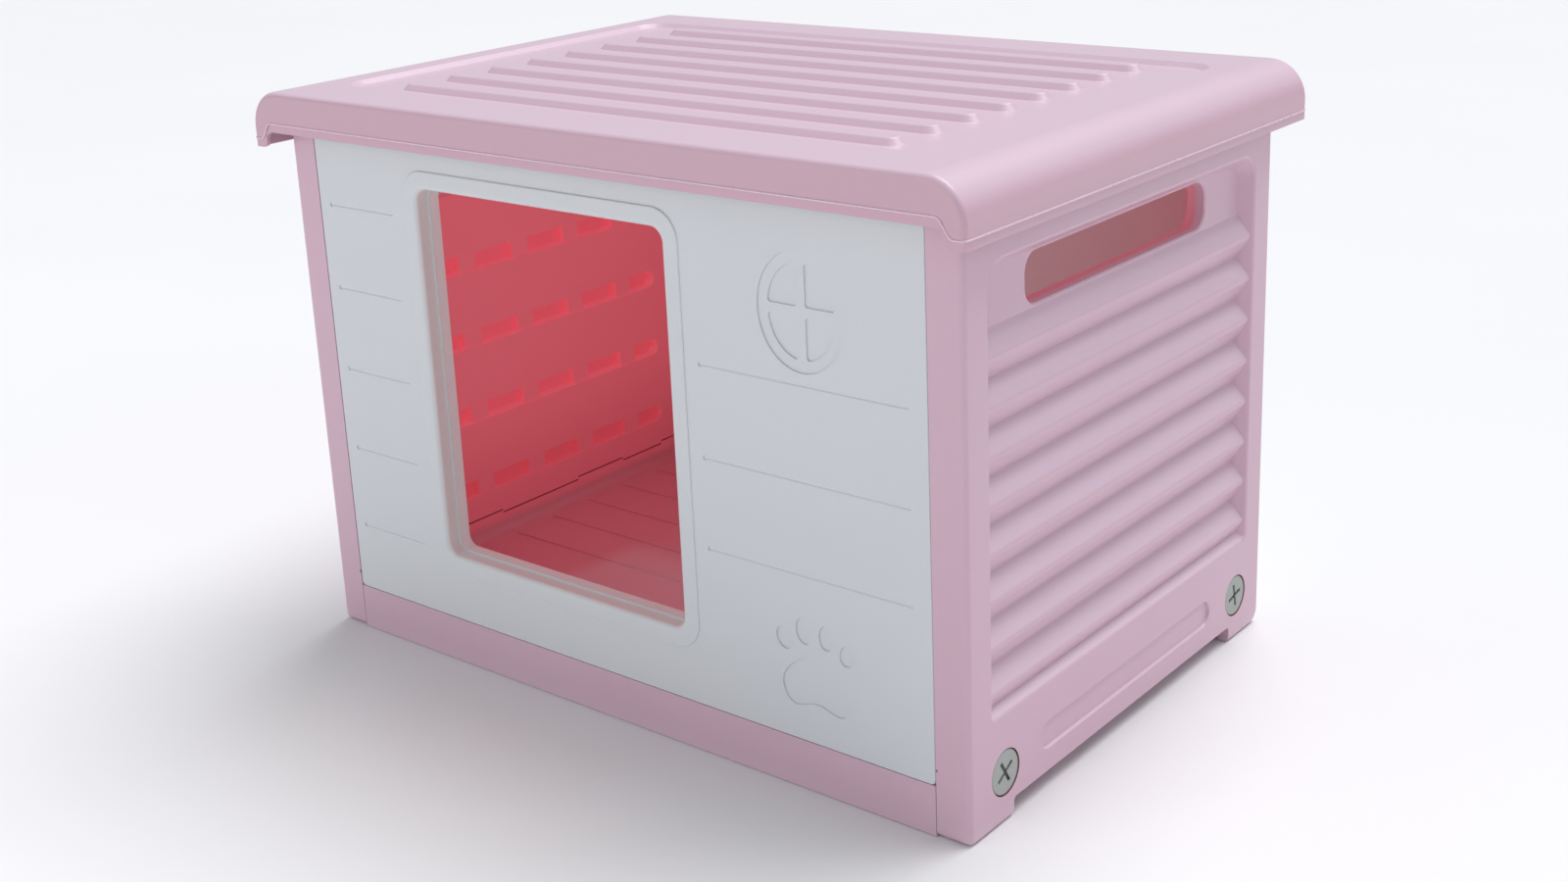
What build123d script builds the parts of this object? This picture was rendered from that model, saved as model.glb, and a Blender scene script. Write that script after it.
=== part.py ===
"""Knock-down plastic pet house: tray, four walls, lift-off lid and four turn-lock bolts.

Millimetres. X runs along the front wall, Y from front to back, Z up.
The origin is on the ground, in the middle of the house.
"""
from build123d import *
import os

os.makedirs("parts", exist_ok=True)

# ---- driving sizes -------------------------------------------------------
body_width = 475.0        # over the outer faces of the side panels
body_depth = 314.0        # front face to back face of the posts
wall_top = 334.0          # top of the walls, where the lid rests
side_thickness = 20.3     # side panel, outer face to inner face
end_thickness = 15.4      # front and back panel
skin = 2.4                # wall of the hollow double-wall mouldings
vent_radius = 1.4         # moulding vent, out of sight
vent_inset = 8.0

# clearances
slip = 0.4                # between neighbouring mouldings that slide together
tongue_slip = 0.25        # tongue in its groove, each face
bolt_slip = 0.5           # bolt head in its seat and shank in its hole, on the radius
thread_slip = 0.05        # shank in its nut, on the radius
lug_slip = 1.0            # lid lugs inside the walls

# tray
rail_height = 27.6        # front and back rail
floor_top = 22.0
floor_thickness = 3.0
tray_wall = 3.0
rim_top = 34.1            # side rims, inside the side panels
rim_bottom = 10.5
rim_gap = 0.8             # end of a rim behind the inner face of a front or back panel
cove = 5.0                # round between floor and rim
rib_bottom = 3.0
rib_thickness = 2.5
rib_spacing = 48.0        # widest spacing of the ribs below the floor
floor_groove_count = 7
floor_groove_setback = 53.5
floor_groove_margin = 9.0
floor_groove_width = 2.2
floor_groove_depth = 1.0
runner_inner = 58.0       # low runners along the rims, from the middle outwards
runner_gap = 2.0          # between a runner and the tongue beyond it
runner_bottom = 4.5
key_height = 2.0          # castellation on the rim's top edge
key_inner = 36.0
key_outer = 81.0
end_key_length = 18.8
rail_rib_thickness = 4.0
rail_rib_height = 4.0
rail_rib_margin = 16.8    # from the tray's side to the rib's end
rail_rib_chamfer = 0.8

# side panels
outer_skin = 7.0          # left outside the tray's rim
edge_lift = 10.0          # bottom edge between the feet
foot_length = 39.0
foot_radius = 2.5
rear_corner_radius = 9.0
front_corner_radius = 3.5
post_edge_radius = 3.0
field_margin = 20.0       # louvre field from the front and back faces
field_bottom = 59.5
field_drop = 42.0         # its top below the wall's top
field_depth = 8.0
field_draft = 36.0
field_top_radius = 14.0
field_bottom_radius = 4.0
field_edge_radius = 2.5   # soft edge round the field
louvre_count = 8
louvre_gap = 1.6          # flat strip between the top louvre and the slot
louvre_rise = 7.0
louvre_crest_radius = 4.0
slot_half_length = 92.0
slot_drop = 49.0          # hand slot's upper edge below the wall's top
slot_height = 26.3
slot_radius = 10.0
slot_edge_radius = 2.0    # flare on the inside
slot_rim = 0.8            # and on the outside
badge_margin = 64.5       # shallow racetrack recess near the bottom edge
badge_bottom = 22.5
badge_height = 16.0
badge_depth = 1.5
badge_draft = 30.0
channel_margin = 32.0
channel_height = 12.0
channel_first = 59.0
channel_drop = 48.5       # top channel below the slot
channel_count = 4
channel_depth = 6.0
channel_step = 1.2        # depth of the long recess that the pockets lie in
channel_draft = 12.0
bridge_count = 5
bridge_margin = 31.0      # from a channel's end to its last bridge
bridge_width = 14.0
tongue_depth = 6.0        # grooves in the posts for the front and back panels
tongue_thickness = 6.0
tongue_bottom = 46.0

# front and back panels
panel_corner_radius = 3.0
panel_edge_radius = 0.8
door_centre = -37.55
door_width = 185.9
door_bottom = 69.1
door_drop = 43.4          # top of the doorway below the wall's top
door_radius = 8.0
door_edge_radius = 2.5
jamb_front_depth = 8.5    # wide part of the jamb; the rest steps in
jamb_step = 1.1
door_wall = 8.8           # left solid around the doorway
frame_margin = 10.8
frame_relief = 0.9
frame_radius = 17.0
plank_count = 5
plank_first = 70.6
plank_drop = 61.0         # top plank line below the wall's top
plank_width = 1.8
plank_depth = 0.6
plank_draft = 40.0
plank_margin = 10.5       # from the panel's edge or the door frame
window_offset = 73.8      # middle from the panel's right edge
window_drop = 74.5
window_half_width = 27.0
window_half_height = 31.0
window_ring = 6.0
window_bar = 5.0
window_step = 0.8
pane_radius = 1.8
paw_offset = 72.3
paw_z = 71.0
paw_depth = 0.9

# lid
lid_side_overhang = 12.5
lid_end_overhang = 16.5
lid_deck = 6.0
lid_skin = 3.0
lid_lip_drop = 27.5       # lower edge along the sides, below the wall's top
lid_skirt_drop = 18.0     # lower edge across the front and the back
lid_round = 22.0          # large round along the sides
lid_edge_radius = 3.0
lip_width = 11.0          # how far the deep side lip wraps round each corner
lip_blend = 4.5
bead_height = 5.0
bead_step = 0.5
dish_side_margin = 36.0
dish_end_margin = 35.5
dish_radius = 18.0
dish_depth = 2.5
dish_draft = 55.0
ridge_count = 8
ridge_side_margin = 36.0  # from the dish's edge to the ridges' ends
ridge_end_margin = 22.5   # from the dish's edge to the first ridge
ridge_width = 17.0
ridge_height = 3.5
ridge_draft = 45.0
ridge_edge_radius = 2.0
lug_drop = 12.0
lug_leg = 30.0

# bolts and nuts
bolt_setback = 31.5       # from the front and back faces
bolt_z = 27.5
head_radius = 12.0
head_thickness = 3.6
head_sink = 0.3           # head below the panel's face
head_edge_radius = 0.6
shank_radius = 5.0
shank_gap = 1.4           # shank's end short of the nut's inner face
cross_length = 14.5
cross_width = 2.2
cross_depth = 1.6
front_cross_angle = 31.0  # how far the front bolts' cross slots are turned
back_cross_angle = 12.0   # and the back bolts'
nut_size = 18.0
nut_thickness = 6.0
nut_corner_radius = 1.5
nut_wall = 4.5            # tray tongue around the nut

# ---- places that follow from them ----------------------------------------
side_outer = body_width / 2
side_inner = side_outer - side_thickness
end_outer = body_depth / 2
end_inner = end_outer - end_thickness
end_middle = end_outer - end_thickness / 2
tray_side = side_inner - slip
rim_outer = side_outer - outer_skin - slip
rim_end = end_inner - rim_gap
pan_end = end_inner - slip
bolt_y = end_outer - bolt_setback
tongue_half_width = nut_size / 2 + nut_wall
tongue_rise = bolt_z + nut_size / 2 + nut_wall
key_spans = ((key_inner, key_outer), (rim_end - end_key_length, rim_end))
panel_half_width = side_inner - slip
valley = side_outer - field_depth
field_half_length = end_outer - field_margin
field_top = wall_top - field_drop
slot_top = wall_top - slot_drop
slot_bottom = slot_top - slot_height
louvre_top = slot_bottom - louvre_gap
channel_half_length = end_outer - channel_margin
channel_last = slot_bottom - channel_drop
door_left = door_centre - door_width / 2
door_right = door_centre + door_width / 2
door_top = wall_top - door_drop
lid_x = side_outer + lid_side_overhang
lid_y = end_outer + lid_end_overhang
lid_top = wall_top + lid_deck
lid_lip = wall_top - lid_lip_drop
lid_skirt = wall_top - lid_skirt_drop


def spread(first, last, count):
    """Evenly spaced places from the first to the last."""
    return [first + (last - first) * i / (count - 1) for i in range(count)]


def rib_places(half_length):
    """Rib places across a width, no wider apart than the rib spacing."""
    gaps = 2 * int(half_length / rib_spacing + 1)
    return spread(-half_length, half_length, gaps + 1)[1:-1]


def block(x0, x1, y0, y1, z0, z1):
    """Box between two corners."""
    return Pos((x0 + x1) / 2, (y0 + y1) / 2, (z0 + z1) / 2) * Box(x1 - x0, y1 - y0, z1 - z0)


def both_ends(shape):
    """The shape and its mirror image in Y."""
    return shape + mirror(shape, about=Plane.XZ)


def save(shape, node):
    """Write one piece as a single solid."""
    solids = shape.solids()
    assert len(solids) == 1, (node, len(solids))
    solids[0].label = node
    export_step(solids[0], f"parts/{node}.step")


# Sketches on an X-facing plane use (Y, Z); on the front plane they use (X, Z).
def side_plane(x):
    return Plane(origin=(x, 0, 0), x_dir=(0, -1, 0), z_dir=(-1, 0, 0))


def front_plane(y):
    return Plane(origin=(0, y, 0), x_dir=(-1, 0, 0), z_dir=(0, 1, 0))


def span(x0, x1, z0, z1, radius=0.0):
    """Rectangle from edge to edge, with rounded corners if a radius is given."""
    centre = Pos((x0 + x1) / 2, (z0 + z1) / 2)
    if radius > 0:
        return centre * RectangleRounded(x1 - x0, z1 - z0, radius)
    return centre * Rectangle(x1 - x0, z1 - z0)


def racetrack(x0, x1, z0, z1):
    """Rectangle with round ends, a hair short of full half circles."""
    return span(x0, x1, z0, z1, (z1 - z0) / 2 - 0.01)


# ---- base tray -----------------------------------------------------------
def make_tray():
    """Pan with front and back rails, side rims inside the side panels, and ribs below."""
    tray = block(-tray_side, tray_side, -end_outer, end_outer, 0, rail_height)
    tray += block(-rim_outer, rim_outer, -rim_end, rim_end, rim_bottom, rim_top)
    pan = block(-tray_side, tray_side, -pan_end, pan_end, floor_top, rim_top + 1)
    tray -= fillet(pan.edges().group_by(Axis.Z)[0], cove)
    tray -= ribbed_underside()
    for side in (-1, 1):
        for end in (-1, 1):
            tray += rim_keys(side, end)
            tray += runner(side, end)
            tray += nut_tongue(side, end)
            tray -= nut_pocket(side, end)
        tray += rail_rib(side)
    reach = end_outer - floor_groove_setback
    for y in spread(-reach, reach, floor_groove_count):
        tray -= floor_groove(y)
    return tray


def ribbed_underside():
    """Pockets under the floor, the rails and the rims, leaving a grid of ribs."""
    under = floor_top - floor_thickness
    half = rib_thickness / 2
    inside = tray_side - tray_wall
    pockets = block(-inside, inside, -pan_end, pan_end, -1, under)
    rail = block(-inside, inside, -end_outer + tray_wall, -pan_end - tray_wall, -1, rail_height - tray_wall)
    for x in rib_places(inside):
        pockets -= block(x - half, x + half, -pan_end, pan_end, rib_bottom, under)
        rail -= block(x - half, x + half, -end_outer, -pan_end, rib_bottom, rail_height)
    for y in rib_places(pan_end):
        pockets -= block(-inside, inside, y - half, y + half, rib_bottom, under)
    pockets += both_ends(rail)
    rim_length = bolt_y - tongue_half_width - tray_wall
    for side in (-1, 1):
        x0, x1 = sorted((side * (tray_side + tray_wall), side * (rim_outer - tray_wall)))
        pockets += block(x0, x1, -rim_length, rim_length, 0, rim_top - tray_wall)
    return pockets


def rim_keys(side, end):
    """Castellations that step the rim's top edge."""
    keys = Part()
    x0, x1 = sorted((side * tray_side, side * (tray_side + tray_wall)))
    for inner, outer in key_spans:
        y0, y1 = sorted((end * inner, end * outer))
        keys += block(x0, x1, y0, y1, rim_top - 1, rim_top + key_height)
    return keys


def runner(side, end):
    """Low runner under a rim, seen below the side panel's raised edge."""
    x0, x1 = sorted((side * (rim_outer - tray_wall), side * rim_outer))
    runner_outer = bolt_y - tongue_half_width - runner_gap
    y0, y1 = sorted((end * runner_inner, end * runner_outer))
    return block(x0, x1, y0, y1, runner_bottom, rim_bottom + 1)


def nut_tongue(side, end):
    """Upright tongue that stands inside the side panel and carries a nut."""
    x0, x1 = sorted((side * (side_inner + skin), side * rim_outer))
    y0 = end * bolt_y - tongue_half_width
    y1 = end * bolt_y + tongue_half_width
    return block(x0, x1, y0, y1, rim_bottom, tongue_rise)


def nut_pocket(side, end):
    """Square pocket for the nut, open to the inside, and the hole for the shank."""
    inner = side_inner + skin
    x0, x1 = sorted((side * (inner - 1), side * (inner + nut_thickness + slip)))
    half = nut_size / 2 + slip
    pocket = block(x0, x1, end * bolt_y - half, end * bolt_y + half, bolt_z - half, bolt_z + half)
    shank = Cylinder(shank_radius + bolt_slip, 4 * nut_thickness, rotation=(0, 90, 0))
    return pocket + Pos(side * rim_outer, end * bolt_y, bolt_z) * shank


def rail_rib(end):
    """Rib on a rail's top that locates the panel above it."""
    y = end * end_middle
    half = rail_rib_thickness / 2
    reach = tray_side - rail_rib_margin
    rib = block(-reach, reach, y - half, y + half, rail_height - 1, rail_height + rail_rib_height)
    return chamfer(rib.edges().group_by(Axis.Z)[-1], rail_rib_chamfer)


def floor_groove(y):
    """Long narrow groove across the floor."""
    length = 2 * (tray_side - floor_groove_margin)
    groove = Pos(0, y, floor_top) * SlotOverall(length, floor_groove_width)
    return extrude(groove, amount=floor_groove_depth, both=True)


# ---- side panels ---------------------------------------------------------
def make_side_panel():
    """Right-hand wall; the left-hand one is its mirror image."""
    panel = block(side_inner, side_outer, -end_outer, end_outer, 0, wall_top)
    lengthwise = panel.edges().filter_by(Axis.X).group_by(Axis.Z)[0].sort_by(Axis.Y)
    panel = fillet(lengthwise[0], front_corner_radius)
    lengthwise = panel.edges().filter_by(Axis.X).group_by(Axis.Z)[0].sort_by(Axis.Y)
    panel = fillet(lengthwise[-1], rear_corner_radius)
    panel = fillet(panel.faces().sort_by(Axis.X)[-1].edges().filter_by(Axis.Z), post_edge_radius)

    # raised edge between the feet, and the room for the tray's rim and tongues
    panel -= foot_gap()
    room_top = rim_top + slip
    room_end = rim_end + slip
    panel -= block(side_inner - 1, side_outer - outer_skin, -room_end, room_end, -1, room_top)
    for end in (-1, 1):
        panel -= tongue_room(end)
        panel -= bolt_seat(end)
        panel -= panel_groove(end)
    for inner, outer in key_spans:
        key_room = block(side_inner - 1, side_inner + tray_wall, inner - slip, outer + slip,
                         room_top - 1, room_top + key_height)
        panel -= both_ends(key_room)

    # louvre field, carrying slot and racetrack recess on the outside
    field = span(-field_half_length, field_half_length, field_bottom, field_top)
    corners = field.vertices().sort_by(Axis.Y)
    field = fillet(corners[2:], field_top_radius)
    field = fillet(field.vertices().sort_by(Axis.Y)[:2], field_bottom_radius)
    pocket = extrude(side_plane(side_outer) * field, amount=field_depth, taper=field_draft)
    panel -= pocket
    outer_face = panel.faces().filter_by(Axis.X).sort_by(Axis.X)[-1]
    rim = outer_face.inner_wires().sort_by(SortBy.LENGTH)[-1]
    panel = fillet(rim.edges(), field_edge_radius)
    panel += louvres() & pocket
    panel -= carrying_slot()
    reach = end_outer - badge_margin
    badge = racetrack(-reach, reach, badge_bottom, badge_bottom + badge_height)
    panel -= extrude(side_plane(side_outer) * badge, amount=badge_depth, taper=badge_draft)

    # stiffening channels on the inside
    for z in spread(channel_first, channel_last, channel_count):
        panel -= channel(z)
    panel -= side_cavity()
    return panel


def foot_gap():
    """Space under the raised bottom edge, with rounded upper corners."""
    reach = end_outer - foot_length
    gap = block(side_inner - 1, side_outer + 1, -reach, reach, -1, edge_lift)
    return fillet(gap.edges().filter_by(Axis.X).group_by(Axis.Z)[-1], foot_radius)


def tongue_room(end):
    """Room for a tray tongue, open below."""
    half = tongue_half_width + slip
    return block(side_inner + skin - slip / 2, side_outer - outer_skin, end * bolt_y - half,
                 end * bolt_y + half, -1, tongue_rise + slip)


def bolt_seat(end):
    """Counterbore for a bolt's head and the hole for its shank."""
    depth = head_thickness + head_sink
    seat = Pos(side_outer, 0, 0) * Cylinder(head_radius + bolt_slip, 2 * depth, rotation=(0, 90, 0))
    seat += Pos(side_outer - outer_skin, 0, 0) * Cylinder(shank_radius + bolt_slip, 2 * outer_skin,
                                                         rotation=(0, 90, 0))
    return Pos(0, end * bolt_y, bolt_z) * seat


def panel_groove(end):
    """Upright groove that takes the tongue of the front or back panel."""
    centre = end * end_middle
    half = tongue_thickness / 2 + tongue_slip
    return block(side_inner - 1, side_inner + tongue_depth + tongue_slip, centre - half, centre + half,
                 tongue_bottom - slip, wall_top + 1)


def louvres():
    """Even ridges with rounded crests, running from front to back."""
    pitch = (louvre_top - field_bottom) / louvre_count
    base = valley - 0.5
    points = [(base, field_bottom)]
    for ridge in range(louvre_count):
        low = field_bottom + ridge * pitch
        points.append((valley, low))
        points.append((valley + louvre_rise, low + pitch / 2))
    points.append((valley, louvre_top))
    points.append((base, louvre_top))
    outline = make_face(Polyline(*points, close=True))
    crests = [v for v in outline.vertices() if v.X > valley + louvre_rise / 2]
    outline = fillet(crests, louvre_crest_radius)
    upright = Plane(origin=(0, 0, 0), x_dir=(1, 0, 0), z_dir=(0, -1, 0))
    return extrude(upright * outline, amount=field_half_length, both=True)


def carrying_slot():
    """Hand slot with softened edges on both sides."""
    outline = span(-slot_half_length, slot_half_length, slot_bottom, slot_top, slot_radius)
    slot = extrude(side_plane(side_outer) * outline, amount=side_thickness + 1)
    flare = offset(outline, slot_edge_radius)
    inner = Plane(origin=(side_inner, 0, 0), x_dir=(0, 1, 0), z_dir=(1, 0, 0))
    slot += extrude(inner * flare, amount=slot_edge_radius, taper=45)
    slot += extrude(side_plane(valley) * offset(outline, slot_rim), amount=slot_rim, taper=45)
    return slot


def channel(z):
    """One row of pockets between small bridges, in a shallow long recess."""
    half = channel_height / 2
    inner = Plane(origin=(side_inner, 0, 0), x_dir=(0, 1, 0), z_dir=(1, 0, 0))
    long_recess = racetrack(-channel_half_length, channel_half_length, z - half, z + half)
    cut = extrude(inner * long_recess, amount=channel_step)
    deep = extrude(inner * long_recess, amount=channel_depth, taper=channel_draft)
    reach = channel_half_length - bridge_margin
    for y in spread(-reach, reach, bridge_count):
        deep -= block(side_inner - 1, side_inner + channel_depth + 1, y - bridge_width / 2,
                      y + bridge_width / 2, z - channel_height, z + channel_height)
    return cut + deep


def side_cavity():
    """Hollow between the two skins, clear of channels, slot, grooves and bolts."""
    inner = side_inner + skin
    outer = valley - skin
    reach = field_half_length
    hollow = Part()
    lowest = tongue_rise + slip + skin
    half = channel_height / 2 + skin
    edges = [lowest]
    for z in spread(channel_first, channel_last, channel_count):
        edges.append(z - half)
        edges.append(z + half)
    edges.append(slot_bottom - 2 * skin)
    for low, high in zip(edges[0::2], edges[1::2]):
        hollow += block(inner, outer, -reach, reach, low, high)
    hollow += block(inner, outer, -reach, reach, slot_top + 2 * skin, wall_top - skin)
    post_inner = side_inner + tongue_depth + tongue_slip + skin
    front_post = block(post_inner, side_outer - skin, -end_outer + skin, -field_half_length - skin + 1,
                       lowest, wall_top - skin)
    hollow += both_ends(front_post)
    vent = Cylinder(vent_radius, 2 * lowest + 4)
    return hollow + Pos(side_outer - vent_inset, end_outer - vent_inset, 0) * vent


# ---- front and back panels -----------------------------------------------
def make_end_panel():
    """Plain front wall: body, side tongues and the groove over the rail's rib."""
    body = block(-panel_half_width, panel_half_width, -end_outer, -end_inner,
                 rail_height + slip / 2, wall_top - slip)
    body = fillet(body.edges().filter_by(Axis.Y).group_by(Axis.Z)[0], panel_corner_radius)
    body = fillet(body.faces().sort_by(Axis.Y)[0].edges(), panel_edge_radius)
    half = tongue_thickness / 2
    reach = side_inner + tongue_depth
    body += block(-reach, reach, -end_middle - half, -end_middle + half, tongue_bottom, wall_top - slip)
    half = rail_rib_thickness / 2 + slip
    reach = tray_side - rail_rib_margin + slip
    body -= block(-reach, reach, -end_middle - half, -end_middle + half, rail_height - 1,
                  rail_height + rail_rib_height + slip)
    return body


def plank_groove(x0, x1, z):
    """One engraved plank line with a small round start at its first end."""
    left, right = sorted((-x0, -x1))
    line = racetrack(left, right, z - plank_width / 2, z + plank_width / 2)
    dot = Pos(-x0, z) * Circle(plank_width * 0.8)
    groove = extrude(front_plane(-end_outer) * line, amount=plank_depth, taper=plank_draft)
    return groove + extrude(front_plane(-end_outer) * dot, amount=plank_depth)


def end_cavity(keep_outs):
    """Hollow inside a front or back panel, clear of the listed X-Z zones."""
    width = panel_half_width - skin
    low = rail_height + rail_rib_height + slip + 2 * skin
    face = end_outer - 2 * window_step - skin
    hollow = block(-width, width, -face, -end_inner - skin, low, wall_top - slip - skin)
    for x0, x1, z0, z1 in keep_outs:
        hollow -= block(x0, x1, -end_outer, -end_inner, z0, z1)
    vent = Cylinder(vent_radius, 2 * (low - rail_height) + 4)
    return hollow + Pos(width - vent_inset, -end_middle, low) * vent


def make_front_panel():
    """White front wall with the doorway, plank lines, round window and paw."""
    panel = make_end_panel()
    frame = span(-door_right - frame_margin, -door_left + frame_margin, door_bottom - frame_margin,
                 door_top + frame_margin, frame_radius)
    raised = extrude(front_plane(-end_outer) * frame, amount=-frame_relief)
    raised = fillet(raised.faces().sort_by(Axis.Y)[0].edges(), frame_relief * 0.85)
    panel += raised
    face = -end_outer - frame_relief
    wide = span(-door_right, -door_left, door_bottom, door_top, door_radius)
    narrow = offset(wide, -jamb_step)
    opening = extrude(front_plane(face) * wide, amount=jamb_front_depth + frame_relief)
    opening += extrude(front_plane(face) * narrow, amount=end_thickness + frame_relief + 1)
    panel -= opening
    rim = [e for e in panel.edges() if e.bounding_box().max.Y < face + 0.01
           and door_left - 1 < e.center().X < door_right + 1
           and door_bottom - 1 < e.center().Z < door_top + 1]
    panel = fillet(rim, door_edge_radius)

    frame_left = door_left - frame_margin
    frame_right = door_right + frame_margin
    edge = panel_half_width - plank_margin
    for row, z in enumerate(spread(plank_first, wall_top - plank_drop, plank_count)):
        panel -= plank_groove(-edge, frame_left - plank_margin, z)
        if row not in (0, plank_count - 1):
            panel -= plank_groove(frame_right + plank_margin, edge, z)
    panel -= window_relief()
    panel -= paw_relief()
    panel -= end_cavity([(door_left - door_wall, door_right + door_wall, door_bottom - door_wall,
                          door_top + door_wall)])
    return panel


def window_relief():
    """Oval window: one step down for the ring, a second for the four panes."""
    place = Pos(window_offset - panel_half_width, wall_top - window_drop)
    oval = place * Ellipse(window_half_width, window_half_height)
    cut = extrude(front_plane(-end_outer) * oval, amount=window_step)
    glass = Ellipse(window_half_width - window_ring, window_half_height - window_ring)
    glass -= Rectangle(window_bar, 2 * window_half_height)
    glass -= Rectangle(2 * window_half_width, window_bar)
    glass = fillet(glass.vertices(), pane_radius)
    for pane in glass.faces():
        cut += extrude(front_plane(-end_outer) * place * pane, amount=2 * window_step)
    return cut


def paw_relief():
    """Paw print: a lobed pad and four toes, mirrored about the print's middle."""
    pad_top = (0.0, 7.0)
    shoulder = (14.0, 0.5)
    flank = (22.3, -14.0)
    lobe = (16.0, -23.3)
    notch = (0.0, -20.5)
    right = [pad_top, shoulder, flank, lobe, notch]
    left = [(-x, z) for x, z in reversed(right[1:-1])]
    pad = make_face(Spline(*right, *left, periodic=True))
    toes = [(7.4, 19.0, 5.1, 7.3, -8.0), (20.3, 12.3, 4.9, 6.3, -24.0)]
    print_shape = Sketch() + pad
    for x, z, half_width, half_height, lean in toes:
        for side in (-1, 1):
            toe = Pos(side * x, z) * Rot(0, 0, side * lean) * Ellipse(half_width, half_height)
            print_shape += toe
    cut = Part()
    for outline in print_shape.faces():
        place = Pos(paw_offset - panel_half_width, paw_z)
        cut += extrude(front_plane(-end_outer) * place * outline, amount=paw_depth)
    return cut


def make_back_panel():
    """Back wall: the same body with plank lines from edge to edge."""
    panel = make_end_panel()
    edge = panel_half_width - plank_margin
    for z in spread(plank_first, wall_top - plank_drop, plank_count):
        panel -= plank_groove(-edge, -plank_margin, z)
        panel -= plank_groove(edge, plank_margin, z)
    panel -= end_cavity([])
    return mirror(panel, about=Plane.XZ)


# ---- lid -----------------------------------------------------------------
def lid_section(inset, top, low, radius):
    """Front view of the lid: straight lips and a large round along each side."""
    x = lid_x - inset
    outline = span(-x, x, low, top)
    return fillet(outline.vertices().sort_by(Axis.Y)[2:], radius)


def skirt_cut(rise):
    """Front view of what is open below the skirts, stepping down to the side lips."""
    inner = lid_x - lip_width
    low = lid_lip + rise
    high = lid_skirt + rise
    outline = span(-inner, inner, low - 40, high)
    outline += span(-lid_x - 5, lid_x + 5, low - 40, low)
    vertices = outline.vertices()
    convex = [v for v in vertices if abs(v.Y - high) < 0.01]
    outline = fillet(convex, lip_blend)
    concave = [v for v in outline.vertices() if abs(v.Y - low) < 0.01 and abs(abs(v.X) - inner) < 0.01]
    return fillet(concave, lip_blend)


def make_lid():
    """Lift-off lid: shell with skirts, dished top with ridges, and locating lugs."""
    middle = front_plane(0)
    shell = extrude(middle * lid_section(0, lid_top, lid_lip - 1, lid_round), amount=lid_y, both=True)
    end_faces = shell.faces().filter_by(Axis.Y)
    shell = fillet(end_faces.edges(), lid_edge_radius)

    # top: dish and ridges
    dish_x = lid_x - dish_side_margin
    dish_y = lid_y - dish_end_margin
    plan = Pos(0, 0, lid_top) * RectangleRounded(2 * dish_x, 2 * dish_y, dish_radius)
    shell -= extrude(plan, amount=-dish_depth, taper=dish_draft)
    reach = dish_y - ridge_end_margin
    for y in spread(-reach, reach, ridge_count):
        shell += Pos(0, y, 0) * ridge(dish_x - ridge_side_margin)

    # underside
    inner_round = lid_side_overhang - lid_skin - slip
    room = extrude(middle * lid_section(lid_skin, wall_top, lid_lip - 20, inner_round),
                   amount=lid_y - lid_skin, both=True)
    shell -= room
    shell -= extrude(middle * skirt_cut(0), amount=lid_y + 1, both=True)
    band = extrude(middle * skirt_cut(bead_height), amount=lid_y + 1, both=True)
    core = extrude(middle * lid_section(bead_step, lid_top, lid_lip - 20, lid_round),
                   amount=lid_y - bead_step, both=True)
    shell -= band - core
    for side in (-1, 1):
        for end in (-1, 1):
            shell += lug(side, end)
    return shell


def ridge(half_length):
    """One raised rib with rounded ends, sloping sides and a soft top edge."""
    floor = lid_top - dish_depth
    plan = SlotOverall(2 * half_length, ridge_width)
    bar = extrude(Pos(0, 0, floor - 0.5) * plan, amount=ridge_height + 0.5, taper=ridge_draft)
    return fillet(bar.faces().sort_by(Axis.Z)[-1].edges(), ridge_edge_radius)


def lug(side, end):
    """L-shaped lug under a corner of the lid, just inside the walls."""
    x = side_inner - lug_slip
    y = end_inner - lug_slip
    corner = block(x - lug_leg, x, y - lug_leg, y, wall_top - lug_drop, wall_top + 0.5)
    corner -= block(x - lug_leg - 1, x - lid_skin, y - lug_leg - 1, y - lid_skin,
                    wall_top - lug_drop - 1, wall_top + 1)
    if side < 0:
        corner = mirror(corner, about=Plane.YZ)
    if end < 0:
        corner = mirror(corner, about=Plane.XZ)
    return corner


# ---- bolts and nuts ------------------------------------------------------
def make_bolt(side, end):
    """Flat-headed bolt with a cross slot, pointing inwards along X."""
    face = side_outer - head_sink
    middle = face - head_thickness / 2
    turned = front_cross_angle if end < 0 else back_cross_angle
    tip = side_inner + skin + shank_gap
    head = Pos(middle, 0, 0) * Cylinder(head_radius, head_thickness, rotation=(0, 90, 0))
    head = fillet(head.edges().group_by(Axis.X)[-1], head_edge_radius)
    shank = Pos((middle + tip) / 2, 0, 0) * Cylinder(shank_radius, middle - tip, rotation=(0, 90, 0))
    cross = Box(2 * cross_depth, cross_length, cross_width)
    cross += Box(2 * cross_depth, cross_width, cross_length)
    bolt = head + shank - Pos(face, 0, 0) * Rot(turned, 0, 0) * cross
    if side < 0:
        bolt = mirror(bolt, about=Plane.YZ)
    return Pos(0, end * bolt_y, bolt_z) * bolt


def make_nut(side, end):
    """Square nut held in the tray's tongue."""
    inner = side_inner + skin
    nut = block(inner, inner + nut_thickness, -nut_size / 2, nut_size / 2, -nut_size / 2, nut_size / 2)
    nut = fillet(nut.edges().filter_by(Axis.X), nut_corner_radius)
    nut -= Pos(inner, 0, 0) * Cylinder(shank_radius + thread_slip, 4 * nut_thickness, rotation=(0, 90, 0))
    if side < 0:
        nut = mirror(nut, about=Plane.YZ)
    return Pos(0, end * bolt_y, bolt_z) * nut


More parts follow.
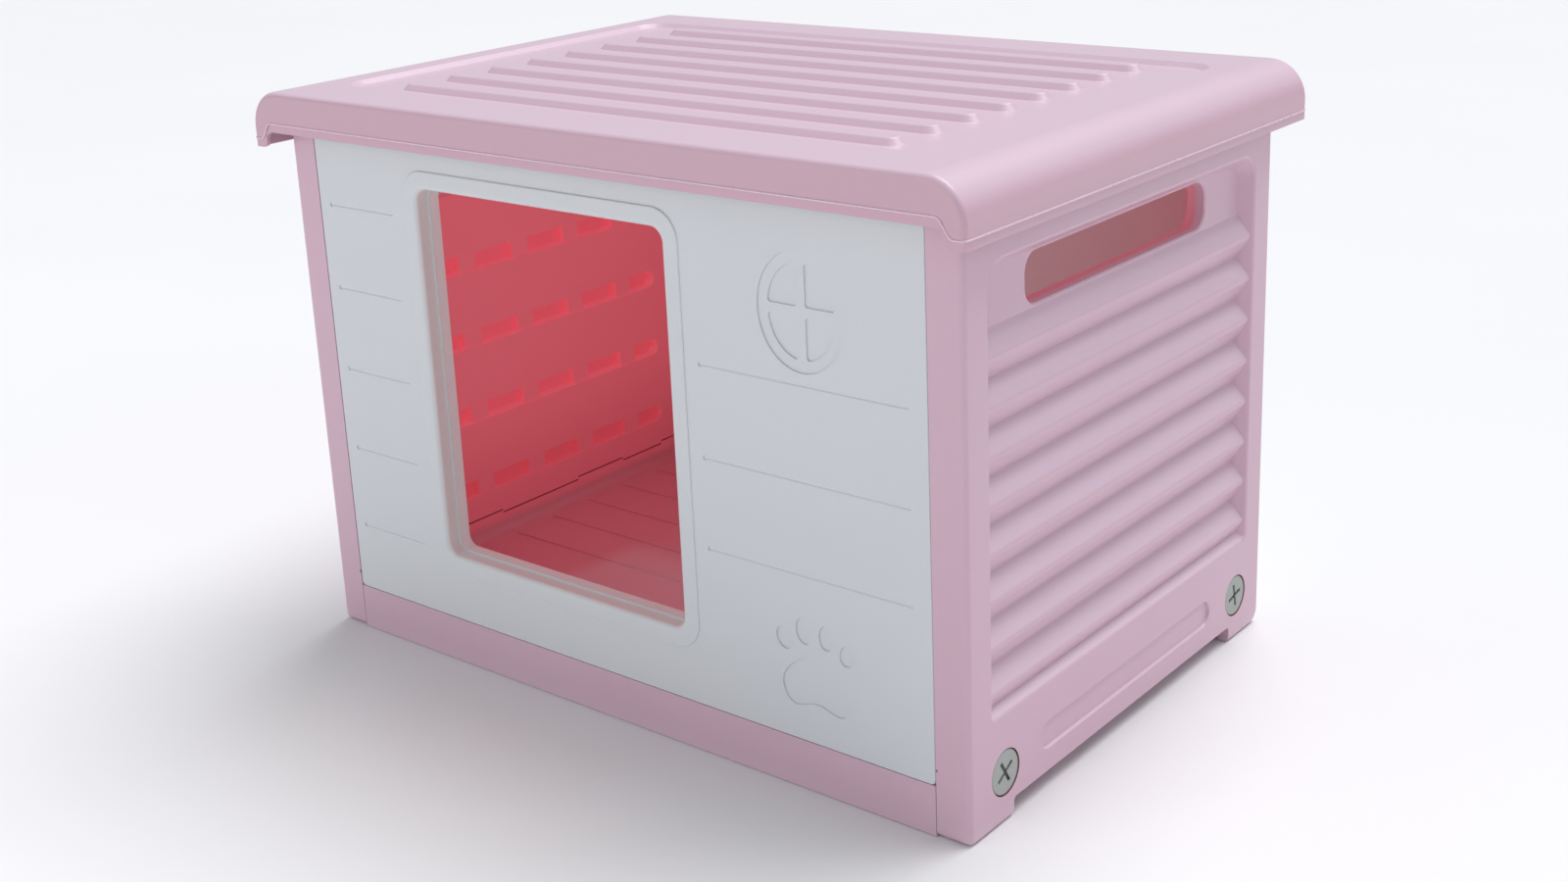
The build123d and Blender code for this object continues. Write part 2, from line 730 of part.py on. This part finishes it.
# ---- build ---------------------------------------------------------------
right_side = make_side_panel()
save(make_tray(), "base_tray")
save(right_side, "side_panel_right")
save(mirror(right_side, about=Plane.YZ), "side_panel_left")
save(make_front_panel(), "front_panel")
save(make_back_panel(), "back_panel")
save(make_lid(), "roof_lid")
for side, side_name in ((-1, "left"), (1, "right")):
    for end, end_name in ((-1, "front"), (1, "back")):
        save(make_bolt(side, end), f"bolt_{end_name}_{side_name}")
        save(make_nut(side, end), f"nut_{end_name}_{side_name}")
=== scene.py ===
import math

import bmesh
import bpy
from mathutils import Matrix, Vector


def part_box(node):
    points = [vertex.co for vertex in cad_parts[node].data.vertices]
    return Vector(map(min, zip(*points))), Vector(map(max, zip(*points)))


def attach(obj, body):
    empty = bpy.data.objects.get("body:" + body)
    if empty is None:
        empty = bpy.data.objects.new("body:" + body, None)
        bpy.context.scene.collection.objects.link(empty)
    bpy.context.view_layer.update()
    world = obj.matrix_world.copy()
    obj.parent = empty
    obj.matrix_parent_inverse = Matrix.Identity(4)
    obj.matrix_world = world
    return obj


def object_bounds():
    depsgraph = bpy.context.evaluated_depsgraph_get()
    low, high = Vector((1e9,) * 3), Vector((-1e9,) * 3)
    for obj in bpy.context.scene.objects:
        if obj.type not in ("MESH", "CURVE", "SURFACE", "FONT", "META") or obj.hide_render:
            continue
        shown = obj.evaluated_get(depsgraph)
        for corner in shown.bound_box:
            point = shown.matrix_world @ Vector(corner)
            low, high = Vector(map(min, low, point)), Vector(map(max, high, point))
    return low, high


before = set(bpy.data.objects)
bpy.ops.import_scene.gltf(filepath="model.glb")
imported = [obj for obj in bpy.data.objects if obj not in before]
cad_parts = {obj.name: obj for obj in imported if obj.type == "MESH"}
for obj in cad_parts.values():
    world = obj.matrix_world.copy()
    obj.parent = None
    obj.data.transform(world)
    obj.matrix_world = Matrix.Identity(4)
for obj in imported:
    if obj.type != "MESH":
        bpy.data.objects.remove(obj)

cad_low, cad_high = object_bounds()


# ---- studio ---------------------------------------------------------------
# A pale floor under a big overhead silk, with two weaker softboxes beside the
# camera that lift the front and the right wall. The camera stands a little
# above the lid and looks at the front right corner.

camera_place = (0.71096, -0.85993, 0.52381)
camera_right = Vector((0.78257, 0.62133, -0.03909))
camera_up = Vector((-0.14885, 0.24772, 0.95733))
camera_back = camera_right.cross(camera_up)
camera_data = bpy.data.cameras.new("camera")
camera_data.lens = 44.97
camera_data.sensor_width = 36.0
camera_data.shift_x = -0.00657
camera_data.shift_y = -0.0743
camera_data.clip_start = 0.02
camera_data.clip_end = 60.0
camera = bpy.data.objects.new("camera", camera_data)
bpy.context.scene.collection.objects.link(camera)
turned = Matrix((camera_right, camera_up, camera_back)).transposed().to_4x4()
camera.matrix_world = Matrix.Translation(camera_place) @ turned
bpy.context.scene.camera = camera


def softbox(name, place, aim, width, height, power, colour):
    """Soft rectangular lamp at a place, turned towards a point."""
    lamp = bpy.data.lights.new(name, "AREA")
    lamp.shape = "RECTANGLE"
    lamp.size = width
    lamp.size_y = height
    lamp.energy = power
    lamp.color = colour
    holder = bpy.data.objects.new(name, lamp)
    holder.location = place
    holder.rotation_mode = "QUATERNION"
    holder.rotation_quaternion = (Vector(aim) - Vector(place)).to_track_quat("-Z", "Y")
    bpy.context.scene.collection.objects.link(holder)


house_middle = (cad_low + cad_high) / 2
softbox("softbox_front", (-0.9, -2.6, 0.8), house_middle, 1.8, 1.4, 12.0, (1.0, 0.985, 0.98))
softbox("softbox_right", (2.6, 0.1, 1.9), house_middle, 1.2, 1.0, 4.5, (0.84, 0.92, 1.0))

silk_light = bpy.data.lights.new("overhead_silk", "SUN")
silk_light.energy = 2.3
silk_light.angle = math.radians(42.0)
silk_light.color = (0.98, 0.98, 1.0)
silk = bpy.data.objects.new("overhead_silk", silk_light)
silk.rotation_mode = "QUATERNION"
silk.rotation_quaternion = Vector((-0.12, -0.42, -1.0)).to_track_quat("-Z", "Y")
bpy.context.scene.collection.objects.link(silk)

world = bpy.data.worlds.new("studio_air")
world.use_nodes = True
world.node_tree.nodes["Background"].inputs["Color"].default_value = (0.93, 0.95, 1.0, 1.0)
world.node_tree.nodes["Background"].inputs["Strength"].default_value = 0.44
bpy.context.scene.world = world
bpy.context.scene.view_settings.view_transform = "Standard"


class Wire:
    """Output socket of a node; sums and products of wires add Math nodes."""

    def __init__(self, recipe, socket):
        self.recipe = recipe
        self.socket = socket

    def maths(self, operation, first, second):
        return self.recipe.node("ShaderNodeMath", {"operation": operation}, {0: first, 1: second})

    def __add__(self, other):
        return self.maths("ADD", self, other)

    def __radd__(self, other):
        return self.maths("ADD", other, self)

    def __sub__(self, other):
        return self.maths("SUBTRACT", self, other)

    def __rsub__(self, other):
        return self.maths("SUBTRACT", other, self)

    def __mul__(self, other):
        return self.maths("MULTIPLY", self, other)

    def __rmul__(self, other):
        return self.maths("MULTIPLY", other, self)

    def __pow__(self, other):
        return self.maths("POWER", self, other)

    def __abs__(self):
        return self.maths("ABSOLUTE", self, 0.0)


class Recipe:
    """A material in the making."""

    def __init__(self, name):
        self.material = bpy.data.materials.new(name)
        self.material.use_nodes = True
        self.tree = self.material.node_tree
        self.tree.nodes.clear()
        coordinates = self.tree.nodes.new("ShaderNodeTexCoord")
        self.place = Wire(self, coordinates.outputs["Object"])
        self.normal = Wire(self, coordinates.outputs["Normal"])
        self.x, self.y, self.z = (self.part(self.place, axis) for axis in "XYZ")

    def node(self, kind, settings, sockets, output=0):
        """Any node: its settings first, then the values or wires of its sockets."""
        made = self.tree.nodes.new(kind)
        for name, value in settings.items():
            setattr(made, name, value)
        for name, value in sockets.items():
            if isinstance(value, Wire):
                self.tree.links.new(value.socket, made.inputs[name])
            else:
                made.inputs[name].default_value = value
        return Wire(self, made.outputs[output])

    def part(self, vector, axis):
        """One coordinate of a vector."""
        return self.node("ShaderNodeSeparateXYZ", {}, {"Vector": vector}, axis)

    def noise(self, grain, detail=3.0, roughness=0.55, stretch=(1.0, 1.0, 1.0)):
        """Noise whose features are about one grain across, in metres."""
        spot = self.node("ShaderNodeMapping", {}, {"Vector": self.place, "Scale": stretch})
        return self.node("ShaderNodeTexNoise", {},
                         {"Vector": spot, "Scale": 1.0 / grain, "Detail": detail, "Roughness": roughness})

    def above(self, wire, low, high):
        """0 below low, 1 above high, and a smooth step from one to the other."""
        return self.node("ShaderNodeMapRange", {"interpolation_type": "SMOOTHSTEP"},
                         {"Value": wire, "From Min": low, "From Max": high, "To Min": 0.0, "To Max": 1.0})

    def below(self, wire, low, high):
        """1 below low and 0 above high."""
        return 1.0 - self.above(wire, low, high)

    def blend(self, factor, first, second):
        """From the first colour to the second."""
        return self.node("ShaderNodeMix", {"data_type": "RGBA"}, {0: factor, 6: first, 7: second}, 2)

    def bump(self, height, depth):
        """Surface normal of a relief whose full depth is in metres."""
        return self.node("ShaderNodeBump", {}, {"Height": height, "Distance": depth, "Strength": 1.0})

    def finish(self, varying, fixed):
        """The surface itself: wires for what changes over it, numbers for what doesn't."""
        surface = self.tree.nodes.new("ShaderNodeBsdfPrincipled")
        for name, value in fixed.items():
            surface.inputs[name].default_value = value
        for name, wire in varying.items():
            self.tree.links.new(wire.socket, surface.inputs[name])
        end = self.tree.nodes.new("ShaderNodeOutputMaterial")
        self.tree.links.new(surface.outputs[0], end.inputs["Surface"])
        return self.material


def floor_paper():
    """Matt paper with a very faint tooth."""
    paper = Recipe("studio_paper")
    cloud = paper.noise(0.5, 2.0)
    tooth = paper.noise(0.002, 2.0)
    colour = paper.blend(cloud, (0.85, 0.85, 0.85, 1.0), (0.88, 0.88, 0.88, 1.0))
    return paper.finish({"Base Color": colour, "Roughness": 0.75 + 0.1 * cloud,
                         "Normal": paper.bump(tooth, 0.00005)}, {"Specular IOR Level": 0.2})


floor_radius = 14.0
floor_drop = 0.0004           # the paper lies this far below the feet, so the two don't flicker
floor_mesh = bpy.data.meshes.new("studio_floor")
shape = bmesh.new()
bmesh.ops.create_circle(shape, cap_ends=True, radius=floor_radius, segments=96)
bmesh.ops.translate(shape, verts=shape.verts, vec=(0.0, 0.0, -floor_drop))
shape.to_mesh(floor_mesh)
shape.free()
studio_floor = bpy.data.objects.new("studio_floor", floor_mesh)
bpy.context.scene.collection.objects.link(studio_floor)
studio_floor.data.materials.append(floor_paper())


# ---- base tray --------------------------------------------------------------
# Injection-moulded pink plastic: a floor pan whose front and back rails carry the
# white panels, and whose rims stand inside the side walls. Paws scuff its floor.

side_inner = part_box("side_panel_right")[0].x
side_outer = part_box("side_panel_right")[1].x
wall_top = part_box("side_panel_right")[1].z
panel_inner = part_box("back_panel")[0].y
front_face = -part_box("back_panel")[1].y
floor_top = 0.022
channel_reach = 0.0066        # from a side wall's inner face to the bottom of its channels
slot_low = 0.253              # heights of the hand slots' lower and upper edge
slot_high = 0.291
doorway_light_x = -0.125               # left and back edge of the pool of painted light on the floor by the doorway
doorway_light_y = -0.005

black = (0.0, 0.0, 0.0, 1.0)
pink = (0.70, 0.480, 0.580, 1.0)
pink_deep = (0.65, 0.425, 0.520, 1.0)
# paler colour painted where light falls from above
pink_top_lit = (0.77, 0.62, 0.715, 1.0)
# painted light: redder colours inside the cabin, in its channels and on its floor
pink_inside_lit = (0.82, 0.36, 0.42, 1.0)
pink_channel_lit = (0.85, 0.24, 0.31, 1.0)
pink_floor_lit = (0.82, 0.52, 0.59, 1.0)
# painted pool of light on the cabin floor by the doorway
pink_doorway_light = (0.86, 0.80, 0.84, 1.0)
pink_scuffed = (0.78, 0.66, 0.72, 1.0)
# painted glow inside the cabin
wall_painted_glow = (0.225, 0.034, 0.044, 1.0)
satin = {"Specular IOR Level": 0.45, "Coat Weight": 0.15, "Coat Roughness": 0.18, "Emission Strength": 1.0}


def repaint(node, material):
    """Give a node of the frame another finish."""
    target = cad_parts[node]
    target.data.materials.clear()
    target.data.materials.append(material)


def inside_cabin(recipe):
    """1 on what faces the room between the walls, and in the channels of the walls; 0 elsewhere."""
    reach = side_inner + channel_reach
    across = recipe.below(abs(recipe.x), reach, reach + 0.001)
    along = recipe.below(abs(recipe.y), panel_inner + 0.0002, panel_inner + 0.0045)
    up = recipe.below(recipe.z, wall_top + 0.001, wall_top + 0.002)
    down = recipe.above(recipe.z, floor_top - 0.0022, floor_top - 0.0014)
    return across * along * up * down


def pink_plastic(name, scuffs, scuff_stretch):
    """Satin pink plastic: cloudy colour, fine mould grain, slow waves, and light scuffs.

    Painted light makes the faces that look up paler, and paints a paler pool of light on the floor by the
    doorway.
    Inside the cabin a redder painted colour and a painted glow stand for the daylight that comes through
    the walls.
    """
    plastic = Recipe(name)
    cloud = plastic.noise(0.09, 3.0)
    streak = plastic.noise(0.03, 3.0, 0.6, (0.25, 1.0, 1.0))
    grain = plastic.noise(0.0007, 2.0)
    wave = plastic.noise(0.05, 1.0)
    scratch = plastic.above(plastic.noise(0.012, 5.0, 0.75, scuff_stretch), 0.60, 0.72)
    low_rub = plastic.below(plastic.z, 0.001, 0.012)
    top_light = plastic.above(plastic.part(plastic.normal, "Z"), 0.15, 0.85)

    # the channels in the walls, the tunnels of the hand slots, and the floor
    inside = inside_cabin(plastic)
    channel = plastic.above(abs(plastic.x), side_inner + 0.002, side_inner + 0.005)
    slot = plastic.above(plastic.z, slot_low - 0.003, slot_low + 0.003) * (
        plastic.below(plastic.z, slot_high - 0.003, slot_high + 0.003))
    slot = slot * plastic.below(abs(plastic.part(plastic.normal, "X")), 0.5, 0.9)
    floor = plastic.below(plastic.z, floor_top + 0.004, floor_top + 0.012)
    # painted pool of light on the cabin floor by the doorway
    doorway_light = plastic.above(plastic.x, doorway_light_x - 0.012, doorway_light_x + 0.012) * (
        plastic.below(plastic.y, doorway_light_y - 0.015, doorway_light_y + 0.015))
    wall_shade = 0.55 + 0.45 * plastic.above(plastic.z, floor_top, 0.12)

    colour = plastic.blend(0.55 * cloud + 0.35 * streak, pink, pink_deep)
    # painted light: faces that look up are paler
    colour = plastic.blend(0.55 * top_light, colour, pink_top_lit)
    cabin_floor = plastic.blend(0.8 * doorway_light, pink_floor_lit, pink_doorway_light)
    # painted light: the cabin's inside is redder
    inner = plastic.blend(floor, plastic.blend(channel, pink_inside_lit, pink_channel_lit), cabin_floor)
    colour = plastic.blend(inside * (1.0 - 0.45 * slot), colour, inner)
    colour = plastic.blend(scuffs * scratch + 0.18 * low_rub, colour, pink_scuffed)
    roughness = 0.29 + 0.10 * cloud + 0.12 * scuffs * scratch + 0.08 * grain
    relief = 0.06 * grain + 0.94 * wave
    # painted glow inside the cabin; wall_shade is painted shade that dims it towards the floor
    glow_part = inside * wall_shade * (1.0 - 0.80 * floor) * (1.0 - 0.80 * slot)
    glow = plastic.blend(glow_part, black, wall_painted_glow)
    return plastic, {"Base Color": colour, "Roughness": roughness, "Emission Color": glow,
                     "Normal": plastic.bump(relief, 0.00035)}


tray, tray_look = pink_plastic("tray_plastic", 0.25, (3.0, 0.6, 1.0))
repaint("base_tray", tray.finish(tray_look, satin))


# ---- side panels -------------------------------------------------------------
# Two hollow blow-moulded walls of the same pink plastic, louvred outside, each
# dropped over the tray's rim and held by two turn bolts.

# The colour is a little deeper in the valleys between the louvres (painted shade)
# and paler on the louvres' upper faces (painted light). Painted shadow darkens
# the stepped seam between each wall and the tray's rim, and the bottom of the bolts' seats.
field_end = 0.137             # the louvre field: its end from the middle, and its heights
field_low = 0.060
field_high = 0.256
valley = side_outer - 0.008
rim_seam = 0.0346             # height of the seam, which steps up over the rim's castellations
key_rise = 0.002
key_inner = 0.0355            # the castellation beside the middle: its two ends
key_outer = 0.0808
key_end = 0.1215              # the castellation at the rim's end starts here
key_slope = 0.0007
seam_half_width = 0.0009
seat_floor = side_outer - 0.0045
seat_gap = 0.0008             # round each bolt's head
pink_valley_shade = (0.50, 0.30, 0.40, 1.0)
pink_shadow = (0.16, 0.02, 0.03, 1.0)
seam_shadow = (0.10, 0.02, 0.03, 1.0)
bolt_low, bolt_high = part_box("bolt_front_right")
bolt_middle = (bolt_low + bolt_high) / 2
head_radius = (bolt_high.z - bolt_low.z) / 2


def side_plastic():
    """Pink plastic with the shades that belong to the side walls' shape."""
    wall, look = pink_plastic("side_panel_plastic", 0.06, (1.0, 1.0, 4.0))
    out = abs(wall.x)
    along = abs(wall.y)

    field = wall.below(along, field_end - 0.001, field_end + 0.001) * (
        wall.above(wall.z, field_low - 0.0005, field_low + 0.0005)
        * wall.below(wall.z, field_high - 0.001, field_high + 0.001))
    # painted shade in the valleys between the louvres
    valley_shade = field * wall.above(out, valley - 0.001, valley) * (
        wall.below(out, valley + 0.0005, valley + 0.0035))
    # painted light on the louvres' upper faces
    louvre_top_lit = field * wall.above(wall.part(wall.normal, "Z"), 0.15, 0.60)

    castellation = wall.above(along, key_inner, key_inner + key_slope) * (
        wall.below(along, key_outer, key_outer + key_slope))
    castellation = castellation + wall.above(along, key_end, key_end + key_slope)
    seam_height = rim_seam + key_rise * castellation
    # painted shadow along the seam between the wall and the tray's rim
    seam_shade = wall.below(abs(wall.z - seam_height), seam_half_width - 0.0005, seam_half_width)
    seam_shade = seam_shade * wall.below(abs(out - side_inner), 0.0008, 0.0014)

    beside = along + bolt_middle.y
    over = wall.z - bolt_middle.z
    from_bolt = (beside * beside + over * over) ** 0.5
    # painted shadow round the bottom of each bolt's seat
    seat_shade = wall.below(from_bolt, head_radius + seat_gap - 0.0003, head_radius + seat_gap) * (
        wall.above(out, seat_floor - 0.0005, seat_floor))

    colour = wall.blend(0.5 * louvre_top_lit, look["Base Color"], pink_top_lit)
    # painted shade in the louvre valleys
    colour = wall.blend(0.30 * valley_shade, colour, pink_valley_shade)
    colour = wall.blend(0.85 * seat_shade, colour, pink_shadow)
    # painted shadow on the seam, which also takes the painted glow away there
    look["Base Color"] = wall.blend(0.8 * seam_shade, colour, seam_shadow)
    look["Emission Color"] = wall.blend(seam_shade, look["Emission Color"], black)
    return wall.finish(look, satin)


wall_plastic = side_plastic()
repaint("side_panel_left", wall_plastic)
repaint("side_panel_right", wall_plastic)


# ---- front and back panels ---------------------------------------------------
# Hollow panels of white plastic, the front one with the doorway and with a window
# and a paw print in relief. They slide down the grooves of the side panels.

door_middle_x = -0.03755
door_middle_z = 0.17985
door_half_width = 0.09295
door_half_height = 0.11075
jamb_depth = 0.0100           # of the doorway's outer, greyer wall
white = (0.69, 0.715, 0.735, 1.0)
white_deep = (0.66, 0.69, 0.715, 1.0)
white_rubbed = (0.77, 0.78, 0.79, 1.0)
white_edge_lit = (0.88, 0.89, 0.90, 1.0)
white_jamb_lit = (0.68, 0.69, 0.685, 1.0)
white_inner_jamb_lit = (0.76, 0.77, 0.77, 1.0)
jamb_painted_glow = (0.055, 0.058, 0.056, 1.0)


def white_plastic():
    """Cool white satin plastic; painted light makes its relief walls paler and gives the door's jamb a
    paler colour and a painted glow.
    """
    plastic = Recipe("panel_plastic")
    cloud = plastic.noise(0.12, 3.0)
    grain = plastic.noise(0.0006, 2.0)
    wave = plastic.noise(0.06, 1.0)
    rub = plastic.above(plastic.noise(0.010, 5.0, 0.75, (3.0, 1.0, 1.0)), 0.62, 0.75)

    # side walls of the shallow reliefs, and the walls of the doorway
    upright = plastic.below(abs(plastic.part(plastic.normal, "Y")), 0.5, 0.95)
    near_face = plastic.below(plastic.y, front_face + 0.002, front_face + 0.003)
    across = abs(plastic.x - door_middle_x)
    height = abs(plastic.z - door_middle_z)
    # the jamb gets painted light and a painted glow
    jamb = plastic.below(across, door_half_width + 0.0003, door_half_width + 0.0020) * (
        plastic.below(height, door_half_height + 0.0003, door_half_height + 0.0020))
    jamb = jamb * upright * plastic.below(plastic.y, 0.0, 0.01)
    deep = plastic.above(plastic.y, front_face + jamb_depth - 0.0015, front_face + jamb_depth)

    colour = plastic.blend(cloud, white, white_deep)
    colour = plastic.blend(0.12 * rub, colour, white_rubbed)
    # painted light on the relief's side walls, which lifts their shade
    colour = plastic.blend(0.35 * upright * near_face * (1.0 - jamb), colour, white_edge_lit)
    colour = plastic.blend(0.9 * jamb, colour, plastic.blend(deep, white_jamb_lit, white_inner_jamb_lit))
    roughness = 0.30 + 0.10 * cloud + 0.10 * rub + 0.06 * grain
    relief = 0.06 * grain + 0.94 * wave
    # painted glow on the door's jamb
    glow = plastic.blend(jamb, black, jamb_painted_glow)
    return plastic.finish({"Base Color": colour, "Roughness": roughness, "Emission Color": glow,
                           "Normal": plastic.bump(relief, 0.00030)}, satin)


panel_plastic = white_plastic()
repaint("front_panel", panel_plastic)
repaint("back_panel", panel_plastic)


# ---- lid -----------------------------------------------------------------------
# One pink moulded shell that lifts straight off, ribbed on top so that it stays
# flat. Its skirts are painted a little deeper in colour than its top, as painted shade.

lid, lid_look = pink_plastic("lid_plastic", 0.08, (0.5, 3.0, 1.0))
# painted shade: the skirts, which face sideways, are darker than the top
skirt_shade = lid.below(lid.part(lid.normal, "Z"), 0.15, 0.60)
lid_look["Base Color"] = lid.blend(0.6 * skirt_shade, lid_look["Base Color"], (0.61, 0.375, 0.445, 1.0))
repaint("roof_lid", lid.finish(lid_look, satin))

# The two halves of the mould leave a fine raised line round the skirts, a little
# above their lower edge. It dips at each corner to follow the deeper side lips.
lid_low, lid_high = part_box("roof_lid")
line_height = 0.0052          # above the lower edge of the side lips
skirt_rise = 0.0095           # the skirts' edge lies higher than the side lips'
lip_width = 0.0110            # the side lip's wrap round a corner
dip_half = 0.0045             # half the length over which the line dips
corner_round = 0.0030
line_radius = 0.00055
line_step = 0.0010            # spacing of the line's sections


def flash_plastic():
    """Pink plastic squeezed thin between the mould's halves, so glossier; its paler colour is a painted
    highlight.
    """
    plastic = Recipe("flash_plastic")
    ragged = plastic.noise(0.004, 4.0, 0.7)
    grain = plastic.noise(0.0006, 2.0)
    # the paler colour is a painted highlight
    colour = plastic.blend(ragged, (0.84, 0.66, 0.75, 1.0), (0.72, 0.52, 0.62, 1.0))
    return plastic.finish({"Base Color": colour, "Roughness": 0.18 + 0.2 * ragged,
                           "Normal": plastic.bump(grain, 0.00003)},
                          {"Specular IOR Level": 0.5, "Coat Weight": 0.2, "Coat Roughness": 0.15})


def parting_path():
    """Corners of the line's path, once round the lid."""
    x = lid_high.x
    y = lid_high.y
    low = lid_low.z + line_height
    high = low + skirt_rise
    inner = x - lip_width
    quarter = [(0.0, y, high), (inner - dip_half, y, high)]
    dip_steps = 8
    for step in range(1, dip_steps + 1):
        part = step / dip_steps
        ease = part * part * (3 - 2 * part)
        quarter.append((inner - dip_half + 2 * dip_half * part, y, high + (low - high) * ease))
    quarter.append((x - corner_round, y, low))
    for step in range(1, 7):
        turn = math.radians(15 * step)
        quarter.append((x - corner_round + corner_round * math.sin(turn),
                        y - corner_round + corner_round * math.cos(turn), low))
    quarter.append((x, 0.0, low))
    front_quarter = [(px, -py, pz) for px, py, pz in reversed(quarter[:-1])]
    right = quarter + front_quarter
    left = [(-px, py, pz) for px, py, pz in reversed(right[1:-1])]
    return right + left


def line_maker():
    """Node tree that turns a path into a thin closed bead."""
    tree = bpy.data.node_groups.new("mould_line", "GeometryNodeTree")
    face = tree.interface
    face.new_socket("Path", in_out="INPUT", socket_type="NodeSocketGeometry")
    radius = face.new_socket("Bead radius", in_out="INPUT", socket_type="NodeSocketFloat")
    spacing = face.new_socket("Spacing", in_out="INPUT", socket_type="NodeSocketFloat")
    finish = face.new_socket("Finish", in_out="INPUT", socket_type="NodeSocketMaterial")
    face.new_socket("Bead", in_out="OUTPUT", socket_type="NodeSocketGeometry")
    start = tree.nodes.new("NodeGroupInput")
    end = tree.nodes.new("NodeGroupOutput")
    even = tree.nodes.new("GeometryNodeResampleCurve")
    even.mode = "LENGTH"
    ring = tree.nodes.new("GeometryNodeCurvePrimitiveCircle")
    ring.inputs["Resolution"].default_value = 8
    tube = tree.nodes.new("GeometryNodeCurveToMesh")
    real = tree.nodes.new("GeometryNodeRealizeInstances")
    paint = tree.nodes.new("GeometryNodeSetMaterial")
    smooth = tree.nodes.new("GeometryNodeSetShadeSmooth")
    links = tree.links
    links.new(start.outputs["Path"], even.inputs["Curve"])
    links.new(start.outputs["Spacing"], even.inputs["Length"])
    links.new(even.outputs["Curve"], tube.inputs["Curve"])
    links.new(start.outputs["Bead radius"], ring.inputs["Radius"])
    links.new(ring.outputs["Curve"], tube.inputs["Profile Curve"])
    links.new(tube.outputs["Mesh"], smooth.inputs["Geometry"])
    links.new(smooth.outputs["Geometry"], real.inputs["Geometry"])
    links.new(real.outputs["Geometry"], paint.inputs["Geometry"])
    links.new(start.outputs["Finish"], paint.inputs["Material"])
    links.new(paint.outputs["Geometry"], end.inputs["Bead"])
    return tree, {"radius": radius.identifier, "spacing": spacing.identifier, "finish": finish.identifier}


path = bpy.data.curves.new("parting_path", "CURVE")
path.dimensions = "3D"
corners = parting_path()
run = path.splines.new("POLY")
run.points.add(len(corners) - 1)
for point, corner in zip(run.points, corners):
    point.co = (*corner, 1.0)
run.use_cyclic_u = True
guide = bpy.data.objects.new("parting_guide", path)
bpy.context.scene.collection.objects.link(guide)
tree, inputs = line_maker()
maker = guide.modifiers.new("mould_line", "NODES")
maker.node_group = tree
maker[inputs["radius"]] = line_radius
maker[inputs["spacing"]] = line_step
maker[inputs["finish"]] = flash_plastic()
made = guide.evaluated_get(bpy.context.evaluated_depsgraph_get())
bead_mesh = bpy.data.meshes.new_from_object(made)
bead_mesh.name = "lid_parting_line"
bpy.data.objects.remove(guide)
parting_line = bpy.data.objects.new("lid_parting_line", bead_mesh)
bpy.context.scene.collection.objects.link(parting_line)
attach(parting_line, "lid")


# ---- bolts and nuts ------------------------------------------------------------
# Grey-green matt plastic bolts, darker in their cross slots, and the square
# nuts of the same plastic inside the tray's tongues.

bolt_grey = (0.36, 0.39, 0.36, 1.0)
bolt_grey_pale = (0.42, 0.45, 0.42, 1.0)
bolt_slot_dark = (0.10, 0.11, 0.10, 1.0)


def bolt_plastic(side, end):
    """Matt grey plastic, darker in the bolt's cross slot."""
    name = "bolt_" + end + "_" + side
    low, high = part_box(name)
    face = high.x if side == "right" else -low.x
    plastic = Recipe(name + "_plastic")
    cloud = plastic.noise(0.006, 3.0)
    grain = plastic.noise(0.0005, 2.0)
    # the cross slot is coloured darker
    slot = plastic.below(abs(plastic.x), face - 0.0010, face - 0.0004)
    colour = plastic.blend(0.75 * slot, plastic.blend(cloud, bolt_grey, bolt_grey_pale), bolt_slot_dark)
    return plastic.finish({"Base Color": colour, "Roughness": 0.42 + 0.12 * cloud,
                           "Normal": plastic.bump(grain, 0.00004)}, {"Specular IOR Level": 0.5})


for side in ("left", "right"):
    for end in ("front", "back"):
        finish = bolt_plastic(side, end)
        repaint("bolt_" + end + "_" + side, finish)
        repaint("nut_" + end + "_" + side, finish)
